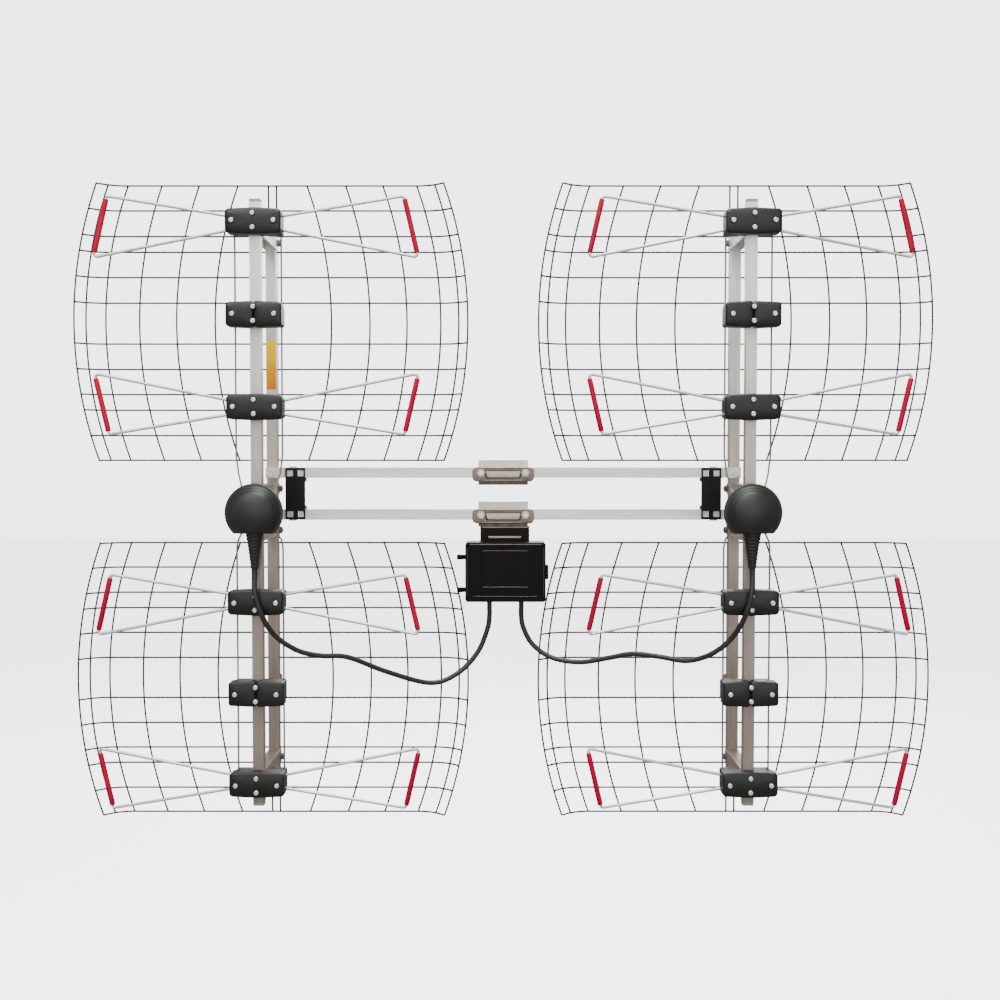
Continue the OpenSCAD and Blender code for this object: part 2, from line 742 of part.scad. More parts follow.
module clamp_nuts() {
    color("gainsboro") {
        for (x = [-leg_x, leg_x], s = [-1, 1])
            translate([x, bar_front - 2.5, s * bar_z]) rotate([90, 0, 0]) hex_nut(nut_r, 5, leg_r + running);
        for (x = [-strap_x, strap_x]) translate([x, strap_y, hanger_top - 2]) {
            translate([0, 0, -2.6]) cylinder(r = 3.8, h = 2.6, $fn = 6);
            translate([0, 0, -1]) cylinder(r = 2, h = 9);
            translate([0, 0, 4.5]) hex_nut(4, 3.2, 2.02);
        }
        for (x = mounts_x, z = mounts_z)
            translate([x, box_back - 2.5, z]) rotate([90, 0, 0]) {
                cylinder(r = 3.2, h = 2);
                translate([0, 0, -5]) cylinder(r = 1.9, h = 6);
            }
    }
}

// ---- Combiner box ----

module combiner_bracket() {
    color("#3a2a1c") difference() {
        union() {
            block([hanger_left, box_back, box_bottom + 6], [hanger_right, box_back + 2, hanger_top]);
            block([hanger_left, box_back, hanger_top - 2], [hanger_right, jaw_back - 1, hanger_top]);
            along_x(hanger_left + 9, hanger_right - 9, box_back + 0.3, bead_z, 1.6);
        }
        translate([0, 0, hanger_top - 10]) cylinder(r = mast_r + 1.6, h = 20);
        for (x = [-strap_x, strap_x]) translate([x, strap_y, hanger_top - 5]) cylinder(r = 2.1, h = 10);
        for (x = mounts_x, z = mounts_z) along_y(x, box_back - 1, box_back + 3, z, 2);
    }
}

module box_outline(inset) {
    w = box_w / 2 - inset;
    polygon(rounded([[box_x - w, box_bottom + inset], [box_x + w, box_bottom + inset], [box_x + w, box_top - inset], [box_x - w, box_top - inset]], max(4 - inset, 1)));
}

module combiner_base() {
    edge = box_x - box_w / 2;
    color("#161514") {
        difference() {
            front_plate(box_split, box_back) box_outline(0);
            front_plate(box_split - 1, box_back - 2.5) box_outline(box_wall);
            for (x = [-port_x, port_x]) translate([box_x + x, port_y, box_bottom - 1]) cylinder(r = 5, h = 5);
            for (x = mounts_x, z = mounts_z) along_y(x, box_back - 4, box_back + 1, z, 2);
        }
        for (z = hinges_at) {
            translate([hinge_x, box_split, z - 3.2]) cylinder(r = 4.2, h = 3.1);
            block([hinge_x, box_split, z - 3.2], [edge + 0.5, box_split + 4.2, z - 0.1]);
            translate([hinge_x, box_split, z - 0.2]) cylinder(r = 1.5, h = 3.4);
        }
    }
}

module combiner_lid() {
    back = box_split - 0.3;
    edge = box_x - box_w / 2;
    right = box_x + box_w / 2;
    color("#1b1a19") difference() {
        union() {
            front_plate(box_front + 3, back) box_outline(0);
            front_plate(box_front + 1, box_front + 3.5) box_outline(1.2);
            front_plate(box_front, box_front + 1.5) difference() {
                box_outline(1.6);
                box_outline(3.4);
            }
            block([box_x - 32, box_front, -124.8], [box_x + 32, box_front + 2, -75.6]);
            block([box_x - 46, box_front, -138.4], [box_x + 45, box_front + 2, -136.2]);
            for (z = hinges_at) {
                translate([hinge_x, box_split, z + 0.1]) cylinder(r = 4.2, h = 3.1);
                block([hinge_x, box_split - 4.2, z + 0.1], [edge + 0.5, back, z + 3.2]);
            }
            block([right - 0.5, box_split - 8, -115], [right + 3.9, back, -96]);
            block([right + 0.4, box_split - 8, -115], [right + 3.9, box_split + 6, -96]);
        }
        front_plate(box_front + 3, back + 1) box_outline(box_wall);
        for (z = hinges_at) translate([hinge_x, box_split, z - 1]) cylinder(r = 1.55, h = 6);
    }
}

// Metal combiner with two inputs and one output.
module combiner_unit() {
    color("silver") {
        block([box_x - 32, port_y - 7, -117], [box_x + 32, port_y + 7, -80]);
        block([box_x - 38, port_y + 5, -106], [box_x + 38, box_back - 2.5, -92]);
        for (x = [-port_x, 0, port_x]) translate([box_x + x, port_y, -126]) cylinder(r = 4.7, h = 9.5);
    }
}

module combiner_plugs() {
    color("gainsboro") for (x = [-port_x, port_x]) translate([box_x + x, port_y, 0]) {
        difference() {
            translate([0, 0, -132]) cylinder(r = 6.3, h = 9, $fn = 6);
            translate([0, 0, -126.05]) cylinder(r = 4.75, h = 10);
        }
        translate([0, 0, -140]) cylinder(r = 4, h = 8);
    }
}

module cable_grommets() {
    color("#101010") for (x = [-port_x, port_x]) translate([box_x + x, port_y, 0]) {
        translate([0, 0, grommet_bottom]) cylinder(r = 6.6, h = 2.45);
        translate([0, 0, box_bottom - 0.1]) cylinder(r = 4.9, h = 3.9);
    }
}

// ---- Jumper cables ----

module jumper(route) {
    color("#101010") cord(smooth(route, 2), cable_d / 2, [0, 1, 0], 10);
}

crossbars();
pivot_brackets();
pivot_pins();
clamp_saddles();
clamp_jaws();
clamp_nuts();
ubolt(bar_z);  // upper_ubolt
ubolt(-bar_z);  // lower_ubolt
combiner_bracket();
combiner_base();
combiner_lid();
combiner_unit();
combiner_plugs();
cable_grommets();
jumper(left_route);  // left_cable
jumper(right_route);  // right_cable
left_side() front_boom();  // left_front_boom
left_side() rear_boom();  // left_rear_boom
left_side() boom_plugs();  // left_boom_plugs
left_side() standoffs();  // left_standoffs
left_side() swivel_arms();  // left_swivel_arms
left_side() reflector(reflector_z);  // left_upper_reflector
left_side() reflector(-reflector_z);  // left_lower_reflector
left_side() reflector_clips();  // left_reflector_clips
left_side() block_covers();  // left_block_covers
left_side() block_bases();  // left_block_bases
left_side() bowtie(1);  // left_bowtie_1
left_side() bowtie(2);  // left_bowtie_2
left_side() bowtie(3);  // left_bowtie_3
left_side() bowtie(4);  // left_bowtie_4
left_side() tip_sleeves();  // left_tip_sleeves
left_side() phasing_lines();  // left_phasing_lines
left_side() balun_cover();  // left_balun_cover
left_side() balun_base();  // left_balun_base
left_side() balun_board();  // left_balun_board
left_side() cable_plug();  // left_cable_plug
left_side() cable_boot();  // left_cable_boot
left_side() panel_screws();  // left_panel_screws
right_side() front_boom();  // right_front_boom
right_side() rear_boom();  // right_rear_boom
right_side() boom_plugs();  // right_boom_plugs
right_side() standoffs();  // right_standoffs
right_side() swivel_arms();  // right_swivel_arms
right_side() reflector(reflector_z);  // right_upper_reflector
right_side() reflector(-reflector_z);  // right_lower_reflector
right_side() reflector_clips();  // right_reflector_clips
right_side() block_covers();  // right_block_covers
right_side() block_bases();  // right_block_bases
right_side() bowtie(1);  // right_bowtie_1
right_side() bowtie(2);  // right_bowtie_2
right_side() bowtie(3);  // right_bowtie_3
right_side() bowtie(4);  // right_bowtie_4
right_side() tip_sleeves();  // right_tip_sleeves
right_side() phasing_lines();  // right_phasing_lines
right_side() balun_cover();  // right_balun_cover
right_side() balun_base();  // right_balun_base
right_side() balun_board();  // right_balun_board
right_side() cable_plug();  // right_cable_plug
right_side() cable_boot();  // right_cable_boot
right_side() panel_screws();  // right_panel_screws
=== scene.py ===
import math

import bmesh
import bpy
from mathutils import Matrix, Vector


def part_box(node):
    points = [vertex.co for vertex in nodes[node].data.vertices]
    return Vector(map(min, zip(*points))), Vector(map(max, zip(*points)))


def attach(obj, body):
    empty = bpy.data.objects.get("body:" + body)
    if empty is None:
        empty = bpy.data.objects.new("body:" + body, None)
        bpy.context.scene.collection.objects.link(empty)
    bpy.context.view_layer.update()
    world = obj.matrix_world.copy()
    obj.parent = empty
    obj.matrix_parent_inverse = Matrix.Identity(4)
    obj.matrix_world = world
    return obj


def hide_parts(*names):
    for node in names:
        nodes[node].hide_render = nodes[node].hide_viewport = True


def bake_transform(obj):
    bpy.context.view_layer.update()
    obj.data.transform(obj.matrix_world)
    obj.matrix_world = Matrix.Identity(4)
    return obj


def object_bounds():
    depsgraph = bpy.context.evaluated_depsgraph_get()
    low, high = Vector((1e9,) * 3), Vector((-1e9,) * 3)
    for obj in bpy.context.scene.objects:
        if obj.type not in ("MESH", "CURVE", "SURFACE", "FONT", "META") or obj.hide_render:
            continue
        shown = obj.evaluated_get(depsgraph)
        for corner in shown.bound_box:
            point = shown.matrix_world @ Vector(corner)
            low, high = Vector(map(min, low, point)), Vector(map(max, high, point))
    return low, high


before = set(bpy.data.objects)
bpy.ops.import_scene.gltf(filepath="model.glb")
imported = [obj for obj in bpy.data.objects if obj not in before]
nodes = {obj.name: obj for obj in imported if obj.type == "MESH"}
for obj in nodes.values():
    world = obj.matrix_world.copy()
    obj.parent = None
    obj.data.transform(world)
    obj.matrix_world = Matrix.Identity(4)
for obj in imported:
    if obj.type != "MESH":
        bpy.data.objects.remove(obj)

cad_low, cad_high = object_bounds()
MM = 0.001
SIDES = ("left", "right")


# ---- Places, all from the frame, and sizes that several pieces share ----

boom_low, boom_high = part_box("right_front_boom")
rear_low, rear_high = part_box("right_rear_boom")
tube_side = boom_high.x - boom_low.x
panel_x = (boom_low.x + boom_high.x) / 2
panel_z = (boom_low.z + boom_high.z) / 2
front_y = (boom_low.y + boom_high.y) / 2
WIRE_RADIUS = 1.25 * MM
ROD_RADIUS = 2.0 * MM
CABLE_DIAMETER = 6.9 * MM
LABEL_SPAN = (142 * MM, 209 * MM)


def mirrored(side, x):
    """The X in the frame of a place that is x metres from the middle of a panel, away from the mast."""
    return panel_x + x if side == "right" else -panel_x - x


def in_panel(side, x, y, z):
    """A point whose x and z are millimetres from the middle of a panel, and whose y is in metres."""
    return Vector((mirrored(side, x * MM), y, panel_z + z * MM))


# ---- Camera ----

CAMERA_DISTANCE = 1.6275  # in front of the rear booms
CAMERA_TILT = 1.99  # degrees down

camera_data = bpy.data.cameras.new("camera")
camera_data.sensor_width = 36.0
camera_data.lens = 42.75
camera = bpy.data.objects.new("camera", camera_data)
camera.location = (-0.0044, rear_low.y - CAMERA_DISTANCE, 0.0474)
camera.rotation_euler = (math.radians(90 - CAMERA_TILT), 0, 0)
bpy.context.scene.collection.objects.link(camera)
bpy.context.scene.camera = camera


# ---- Materials ----

class Surface:
    """A Principled material whose nodes are added by short calls."""

    def __init__(self, name, roughness, metallic=0.0):
        self.material = bpy.data.materials.new(name)
        self.material.use_nodes = True
        tree = self.material.node_tree
        self.nodes, self.links = tree.nodes, tree.links
        self.shader = self.nodes["Principled BSDF"]
        self.shader.inputs["Metallic"].default_value = metallic
        self.shader.inputs["Roughness"].default_value = roughness
        self.place = self.nodes.new("ShaderNodeTexCoord").outputs["Object"]
        self.normal = None

    def noise(self, scale, detail=4.0, stretch=(1, 1, 1), distortion=0.0):
        mapping = self.nodes.new("ShaderNodeMapping")
        mapping.inputs["Scale"].default_value = stretch
        self.links.new(self.place, mapping.inputs["Vector"])
        node = self.nodes.new("ShaderNodeTexNoise")
        node.inputs["Scale"].default_value = scale
        node.inputs["Detail"].default_value = detail
        node.inputs["Distortion"].default_value = distortion
        self.links.new(mapping.outputs["Vector"], node.inputs["Vector"])
        return node.outputs["Fac"]

    def cells(self, scale):
        node = self.nodes.new("ShaderNodeTexVoronoi")
        node.inputs["Scale"].default_value = scale
        self.links.new(self.place, node.inputs["Vector"])
        return node.outputs["Color"]

    def along(self, axis, low, high):
        """0 to 1 from one place on an axis to another."""
        split = self.nodes.new("ShaderNodeSeparateXYZ")
        self.links.new(self.place, split.inputs["Vector"])
        return self.spread(split.outputs[axis], low, high, 0.0, 1.0)

    def spread(self, value, low, high, to_low, to_high):
        node = self.nodes.new("ShaderNodeMapRange")
        self.links.new(value, node.inputs["Value"])
        ends = {"From Min": low, "From Max": high, "To Min": to_low, "To Max": to_high}
        for key, number in ends.items():
            node.inputs[key].default_value = number
        return node.outputs["Result"]

    def ramp(self, value, stops):
        node = self.nodes.new("ShaderNodeValToRGB")
        ramp = node.color_ramp
        while len(ramp.elements) < len(stops):
            ramp.elements.new(0.5)
        for element, (position, colour) in zip(ramp.elements, stops):
            element.position = position
            element.color = (*colour, 1)
        self.links.new(value, node.inputs["Fac"])
        return node.outputs["Color"]

    def mix(self, factor, first, second, blend="MIX"):
        node = self.nodes.new("ShaderNodeMix")
        node.data_type = "RGBA"
        node.blend_type = blend
        # A Mix node has its two colours at sockets 6 and 7, and its colour comes out at 2.
        for place, value in ((0, factor), (6, first), (7, second)):
            socket = node.inputs[place]
            if isinstance(value, bpy.types.NodeSocket):
                self.links.new(value, socket)
            elif isinstance(value, tuple):
                socket.default_value = (*value, 1)
            else:
                socket.default_value = value
        return node.outputs[2]

    def colour(self, socket):
        self.links.new(socket, self.shader.inputs["Base Color"])

    def roughness(self, socket, low, high):
        self.links.new(self.spread(socket, 0.25, 0.75, low, high), self.shader.inputs["Roughness"])

    def bump(self, socket, depth, strength=1.0):
        node = self.nodes.new("ShaderNodeBump")
        node.inputs["Distance"].default_value = depth
        node.inputs["Strength"].default_value = strength
        self.links.new(socket, node.inputs["Height"])
        if self.normal is not None:
            self.links.new(self.normal, node.inputs["Normal"])
        self.normal = node.outputs["Normal"]
        self.links.new(self.normal, self.shader.inputs["Normal"])


def shade(colour, factor):
    return tuple(min(c * factor, 1.0) for c in colour)


CRYSTALS = 420  # zinc crystals to the metre
# Painted light and shade on the uprights and standoffs: darker and brownish at the bottom, and pale at
# the top.
PAINTED_LIGHT_SPAN = (-0.33, 0.33)
PAINTED_HEIGHT_LIGHT = [(0.0, (0.34, 0.28, 0.235)), (0.24, (0.38, 0.32, 0.275)), (0.54, (0.53, 0.48, 0.43)),
          (0.78, (0.80, 0.78, 0.74)), (1.0, (1.0, 1.0, 0.97))]
# Heights between which each clamp jaw turns from painted shade, below its crossbar, to its lit tone.
JAW_SHADE_HEIGHTS = {"upper": (0.019, 0.024), "lower": (-0.038, -0.033), "between": (-0.001, 0.001)}


def drawn_metal(name, colour, along, height_light=None, metallic=0.55, roughness=0.42):
    """Drawn aluminium: fine lines along one axis, matt oxide patches and a few specks.

    The fourth argument, if given, paints light and shade on it by height: (place in the span of heights
    from 0 to 1, colour) pairs.
    """
    s = Surface(name, roughness, metallic)
    stretch = tuple(0.03 if axis == along else 1.0 for axis in "xyz")
    lines = s.noise(900, 3, stretch)
    bands = s.noise(230, 2, stretch)
    patches = s.noise(28, 5, distortion=0.4)
    specks = s.noise(260, 2)
    tint = s.ramp(patches, [(0.3, shade(colour, 0.90)), (0.55, colour), (0.75, shade(colour, 1.07))])
    tint = s.mix(s.spread(bands, 0.35, 0.65, 0.0, 0.55), tint, shade(colour, 0.72))
    tint = s.mix(s.spread(lines, 0.35, 0.65, 0.0, 0.30), tint, shade(colour, 0.80))
    tint = s.mix(s.spread(specks, 0.66, 0.74, 0.0, 0.30), tint, shade(colour, 0.55))
    # Painted light and shade: paler towards the top and darker towards the bottom.
    if height_light:
        tint = s.mix(1.0, tint, s.ramp(s.along("Z", *PAINTED_LIGHT_SPAN), height_light), "MULTIPLY")
    s.colour(tint)
    s.roughness(patches, roughness - 0.07, roughness + 0.12)
    s.bump(lines, 0.00004, 0.5)
    return s.material


def moulded_plastic(name, colour, roughness=0.55, grain=0.00008, gloss=0.5):
    """Moulded plastic: spark-eroded grain, flow marks and pale scuffs."""
    s = Surface(name, roughness)
    grain_noise = s.noise(1400, 2)
    flow = s.noise(22, 4, (1, 1, 0.5), 0.6)
    scuffs = s.noise(120, 6, (1, 1, 2.2), 1.2)
    tint = s.ramp(flow, [(0.28, shade(colour, 0.80)), (0.52, colour), (0.78, shade(colour, 1.28))])
    s.colour(s.mix(s.spread(scuffs, 0.60, 0.72, 0.0, 0.28), tint, shade(colour, 1.9)))
    s.roughness(flow, roughness - 0.08, roughness + 0.10)
    s.bump(grain_noise, grain, 0.6)
    s.bump(flow, 0.0002, 0.25)
    s.shader.inputs["Specular IOR Level"].default_value = gloss
    return s.material


def plated_steel(name, colour, roughness=0.32):
    """Zinc-plated steel: soft crystal cells, a milky film and thin scratches."""
    s = Surface(name, roughness, 0.85)
    cells = s.cells(CRYSTALS)
    film = s.noise(60, 4, distortion=0.3)
    scratches = s.noise(700, 2, (0.08, 1, 1))
    grey = s.nodes.new("ShaderNodeRGBToBW")
    s.links.new(cells, grey.inputs["Color"])
    tint = s.ramp(grey.outputs["Val"], [(0.1, shade(colour, 0.86)), (0.9, shade(colour, 1.10))])
    tint = s.mix(s.spread(film, 0.4, 0.7, 0.0, 0.45), tint, shade(colour, 0.94))
    s.colour(s.mix(s.spread(scratches, 0.62, 0.72, 0.0, 0.35), tint, shade(colour, 0.65)))
    s.roughness(film, roughness - 0.08, roughness + 0.16)
    s.bump(scratches, 0.00003, 0.5)
    return s.material


def steel_with_painted_shade(name, lit_tone, shaded_tone):
    """Zinc-plated steel with painted shade below each crossbar."""
    s = Surface(name, 0.4, 0.8)
    cells = s.cells(CRYSTALS)
    film = s.noise(90, 5, distortion=0.4)
    # Painted shade: darker below each crossbar, the lit tone above it.
    upper = s.mix(s.along("Z", *JAW_SHADE_HEIGHTS["upper"]), shaded_tone, lit_tone)
    lower = s.mix(s.along("Z", *JAW_SHADE_HEIGHTS["lower"]), shaded_tone, lit_tone)
    tint = s.mix(s.along("Z", *JAW_SHADE_HEIGHTS["between"]), lower, upper)
    tint = s.mix(s.spread(film, 0.45, 0.75, 0.0, 0.4), tint, shade(lit_tone, 0.75))
    s.colour(s.mix(0.12, tint, cells, "MULTIPLY"))
    s.roughness(film, 0.32, 0.55)
    s.bump(film, 0.00003, 0.4)
    return s.material


def screw_finish(name, front, behind, depth):
    """Screws: bright heads in front of a depth, and weathered ones behind it."""
    s = Surface(name, 0.35, 0.6)
    film = s.noise(300, 4, distortion=0.4)
    tint = s.mix(s.along("Y", depth - 0.001, depth + 0.001), front, behind)
    tint = s.mix(s.spread(film, 0.45, 0.75, 0.0, 0.35), tint, shade(behind, 1.6))
    s.colour(tint)
    s.roughness(film, 0.28, 0.5)
    s.bump(film, 0.00003, 0.4)
    return s.material


def coated_metal(name, colour, roughness=0.45, metallic=0.0, gloss=0.5):
    """Paint or powder coat on metal: orange peel, faint patches and rubbed spots."""
    s = Surface(name, roughness, metallic)
    peel = s.noise(650, 2)
    patches = s.noise(40, 5, distortion=0.5)
    rubs = s.noise(190, 5, distortion=1.0)
    tint = s.ramp(patches, [(0.3, shade(colour, 0.82)), (0.55, colour), (0.8, shade(colour, 1.22))])
    s.colour(s.mix(s.spread(rubs, 0.64, 0.74, 0.0, 0.5), tint, shade(colour, 2.2)))
    s.roughness(patches, roughness - 0.10, roughness + 0.12)
    s.bump(peel, 0.00006, 0.5)
    s.shader.inputs["Specular IOR Level"].default_value = gloss
    return s.material


def soft_rubber(name, colour, roughness=0.7):
    """Rubber: dusty bloom, tiny pores."""
    s = Surface(name, roughness)
    dust = s.noise(90, 6, distortion=0.8)
    pores = s.noise(1800, 2)
    s.colour(s.ramp(dust, [(0.35, colour), (0.6, shade(colour, 1.35)), (0.8, shade(colour, 2.4))]))
    s.roughness(dust, roughness - 0.10, roughness + 0.10)
    s.bump(pores, 0.00005, 0.6)
    return s.material


def sticker(name):
    """A plain sticker that runs from yellow at the top to orange at the bottom."""
    s = Surface(name, 0.35)
    stops = [(0.0, (0.66, 0.19, 0.0)), (0.4, (0.90, 0.35, 0.0)),
             (0.6, (0.93, 0.54, 0.0)), (1.0, (0.93, 0.72, 0.0))]
    tint = s.ramp(s.along("Z", *LABEL_SPAN), stops)
    fade = s.noise(70, 4)
    s.colour(s.mix(s.spread(fade, 0.5, 0.8, 0.0, 0.2), tint, (0.90, 0.52, 0.0)))
    s.shader.inputs["Specular IOR Level"].default_value = 0.05
    s.roughness(fade, 0.40, 0.58)
    s.bump(fade, 0.00003, 0.4)
    return s.material


TUBE = (0.97, 0.96, 0.94)
RECIPES = {
    "tube_upright": (drawn_metal, TUBE, "z", PAINTED_HEIGHT_LIGHT),
    "tube_level": (drawn_metal, (0.90, 0.87, 0.85), "x"),
    "standoff": (drawn_metal, TUBE, "y", PAINTED_HEIGHT_LIGHT),
    "grid_wire": (coated_metal, (0.035, 0.035, 0.038), 0.42, 0.3),
    "element_rod": (drawn_metal, (0.74, 0.74, 0.71), "x", None, 0.6, 0.36),
    "line_wire": (drawn_metal, (0.30, 0.30, 0.30), "z", None, 0.6, 0.38),
    "red_vinyl": (moulded_plastic, (0.40, 0.0012, 0.030), 0.45, 0.00003, 0.12),
    "dark_plastic": (moulded_plastic, (0.013, 0.015, 0.012), 0.46, 0.00008, 0.4),
    "block_plastic": (moulded_plastic, (0.0085, 0.0085, 0.0072), 0.40, 0.00008, 0.36),
    "grey_plastic": (moulded_plastic, (0.30, 0.30, 0.29), 0.5),
    "zinc": (plated_steel, (0.66, 0.65, 0.61)),
    "screws": (screw_finish, (0.80, 0.79, 0.76), (0.16, 0.15, 0.13), -0.035),
    # Painted shade: the saddle plates' darker tone; the darkest colour is a painted shadow ring round
    # each pan.
    "clamp_steel": (plated_steel, (0.215, 0.175, 0.142), 0.42),
    "clamp_pan": (plated_steel, (0.42, 0.375, 0.325), 0.34),
    "clamp_grime": (coated_metal, (0.045, 0.030, 0.020), 0.6),
    "nut_steel": (plated_steel, (0.46, 0.41, 0.36), 0.30),
    # Painted shade on the jaws below each crossbar.
    "jaw_steel": (steel_with_painted_shade, (0.60, 0.61, 0.56), (0.10, 0.085, 0.07)),
    "black_steel": (coated_metal, (0.0055, 0.0055, 0.005), 0.45, 0.0, 0.18),
    "bronze_steel": (coated_metal, (0.012, 0.0050, 0.0030), 0.5, 0.0, 0.15),
    # A painted highlight colour for the hanger's bent edge and bead.
    "worn_edge": (coated_metal, (0.70, 0.62, 0.53), 0.34, 0.3),
    "box_plastic": (moulded_plastic, (0.0034, 0.0023, 0.0021), 0.45, 0.00005, 0.10),
    # A lighter colour on the lid's beads that is a painted highlight.
    "box_rim": (moulded_plastic, (0.060, 0.052, 0.048), 0.30, 0.00003),
    "port_metal": (plated_steel, (0.68, 0.66, 0.62), 0.28),
    "board": (moulded_plastic, (0.03, 0.17, 0.07), 0.35, 0.00003),
    "black_rubber": (soft_rubber, (0.006, 0.0055, 0.005)),
    "cable_jacket": (soft_rubber, (0.008, 0.008, 0.008), 0.48),
    "label": (sticker,),
}
materials = {name: maker(name, *looks) for name, (maker, *looks) in RECIPES.items()}


# ---- Mesh making ----

def smooth_route(points, steps):
    """Catmull-Rom points through the given ones."""
    route = []
    last = len(points) - 1
    for i in range(last):
        a, b, c, d = (points[max(i - 1, 0)], points[i], points[i + 1], points[min(i + 2, last)])
        for k in range(steps):
            t = k / steps
            route.append(0.5 * (2 * b + (c - a) * t + (2 * a - 5 * b + 4 * c - d) * t * t
                                + (3 * b - a - 3 * c + d) * t ** 3))
    route.append(points[last])
    return route


def add_sweep(bm, points, radius, side, sides):
    """A round rod along points. radius is one number, or a list with one for each point.

    side is a direction that the points never run along.
    """
    side = Vector(side)
    rings = []
    for i, p in enumerate(points):
        along = (points[min(i + 1, len(points) - 1)] - points[max(i - 1, 0)]).normalized()
        u = along.cross(side).normalized()
        v = u.cross(along)
        r = radius[i] if isinstance(radius, (list, tuple)) else radius
        turns = [2 * math.pi * k / sides for k in range(sides)]
        rings.append([bm.verts.new(p + r * (math.cos(a) * u + math.sin(a) * v)) for a in turns])
    for a, b in zip(rings, rings[1:]):
        for k in range(sides):
            bm.faces.new((a[k], a[(k + 1) % sides], b[(k + 1) % sides], b[k]))
    bm.faces.new(list(reversed(rings[0])))
    bm.faces.new(rings[-1])


def add_lathe(bm, profile, matrix, segments, shape=None):
    """A closed solid turned round local Z from (radius, height) pairs.

    The pairs start and end on the axis. shape, if given, moves each point.
    """
    def vert(r, h, k):
        a = 2 * math.pi * k / segments
        point = Vector((r * math.cos(a), r * math.sin(a), h))
        return bm.verts.new(matrix @ (shape(point) if shape else point))

    first = bm.verts.new(matrix @ Vector((0, 0, profile[0][1])))
    last = bm.verts.new(matrix @ Vector((0, 0, profile[-1][1])))
    rings = [[vert(r, h, k) for k in range(segments)] for r, h in profile[1:-1]]
    for k in range(segments):
        n = (k + 1) % segments
        bm.faces.new((first, rings[0][n], rings[0][k]))
        bm.faces.new((rings[-1][k], rings[-1][n], last))
        for a, b in zip(rings, rings[1:]):
            bm.faces.new((a[k], a[n], b[n], b[k]))


def corner_arc(before, corner, after, radius, steps):
    """The points of the arc that rounds a corner between its two neighbours."""
    u = (before - corner).normalized()
    v = (after - corner).normalized()
    half = u.angle(v) / 2
    centre = corner + (u + v).normalized() * radius / math.sin(half)
    a = corner + u * radius / math.tan(half) - centre
    b = corner + v * radius / math.tan(half) - centre
    return [centre + radius * a.lerp(b, k / steps).normalized() for k in range(steps + 1)]


def rounded_outline(corners, radius, steps=6):
    """Corner points of an outline, each turned into an arc."""
    corners = [Vector(corner) for corner in corners]
    outline = []
    for i, corner in enumerate(corners):
        outline += corner_arc(corners[i - 1], corner, corners[(i + 1) % len(corners)], radius, steps)
    return outline


def add_pillow(bm, outline, centre, rear, front, crown, edge):
    """A block with the given outline in X-Z, a flat rear, straight walls and a barrel-shaped front.

    The front falls back by crown towards its edges. edge is how far the rounded edge reaches
    in, as a share of the outline.
    """
    half_x = max(abs(p.x - centre[0]) for p in outline)
    half_z = max(abs(p.y - centre[1]) for p in outline)
    edge_depth = min(1.6 * crown, 2.4 * MM)

    def ring(scale, depth):
        verts = []
        for p in outline:
            x = (p.x - centre[0]) * scale
            z = (p.y - centre[1]) * scale
            fall = crown * (0.8 * (z / half_z) ** 2 + 0.2 * (x / half_x) ** 4)
            verts.append(bm.verts.new((centre[0] + x, front + depth + fall, centre[1] + z)))
        return verts

    rings = [[bm.verts.new((p.x, rear, p.y)) for p in outline]]
    for a in (0, math.pi / 8, math.pi / 4, 3 * math.pi / 8):
        rings.append(ring(1 - edge * (1 - math.cos(a)), edge_depth * (1 - math.sin(a))))
    for scale in (0.88, 0.75, 0.6, 0.45, 0.25):
        rings.append(ring(scale, 0.0))
    rings.append([bm.verts.new((centre[0], front, centre[1]))])
    count = len(outline)
    for a, b in zip(rings, rings[1:]):
        for k in range(count):
            n = (k + 1) % count
            if len(b) == 1:
                bm.faces.new((a[k], a[n], b[0]))
            else:
                bm.faces.new((a[k], a[n], b[n], b[k]))
    bm.faces.new(list(reversed(rings[0])))


def add_prism(bm, outline, rear, front):
    """A flat plate with the given outline in X-Z between two depths."""
    back = [bm.verts.new((p.x, rear, p.y)) for p in outline]
    face = [bm.verts.new((p.x, front, p.y)) for p in outline]
    for k in range(len(outline)):
        n = (k + 1) % len(outline)
        bm.faces.new((back[k], back[n], face[n], face[k]))
    bm.faces.new(list(reversed(back)))
    bm.faces.new(face)


def make_piece(bm, name, material, body, stands_for=()):
    """Turns a bmesh into a piece that rides on a body, unless body is None."""
    bmesh.ops.recalc_face_normals(bm, faces=bm.faces)
    mesh = bpy.data.meshes.new(name)
    bm.to_mesh(mesh)
    bm.free()
    mesh.polygons.foreach_set("use_smooth", [True] * len(mesh.polygons))
    mesh.set_sharp_from_angle(angle=math.radians(38))
    piece = bpy.data.objects.new(name, mesh)
    bpy.context.scene.collection.objects.link(piece)
    mesh.materials.append(materials[material])
    if body:
        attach(piece, body)
    if stands_for:
        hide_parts(*stands_for)
    return piece


# ---- Jumper cables ----

ROUTE_STEPS = 8
